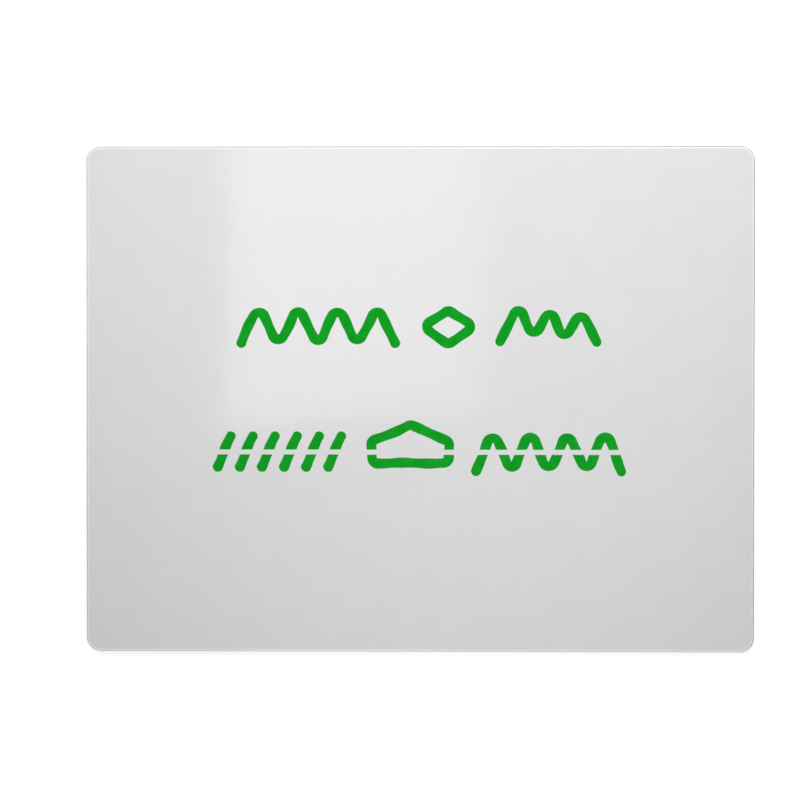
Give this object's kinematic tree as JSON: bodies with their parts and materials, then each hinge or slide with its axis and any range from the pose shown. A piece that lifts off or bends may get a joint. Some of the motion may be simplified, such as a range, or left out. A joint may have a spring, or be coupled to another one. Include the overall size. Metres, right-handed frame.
{
  "type": "unframed whiteboard",
  "caption": "Thin unframed dry-erase board: a glossy white laminate writing face on a hardboard core with rounded corners, rounded-over edges and a plain balancing sheet on the back.",
  "frame": {"origin": "middle of the back face, on the surface that the board lies on", "axes": "+Z out of the writing face, +X along the long side to the right as seen from the front, +Y along the short side to the top edge"},
  "size_m": [0.302, 0.2286, 0.0036],
  "materials": {
    "kraft_backing": "satin",
    "glue": "satin",
    "hardboard": "matte",
    "white_barrier_paper": "matte",
    "white_melamine": "gloss"
  },
  "bodies": {
    "root": {"backing_sheet": "kraft_backing", "back_glue_film": "glue", "hardboard_core": "hardboard", "face_glue_film": "glue", "white_barrier_sheet": "white_barrier_paper", "white_decor_sheet": "white_melamine"}
  },
  "joints": []
}
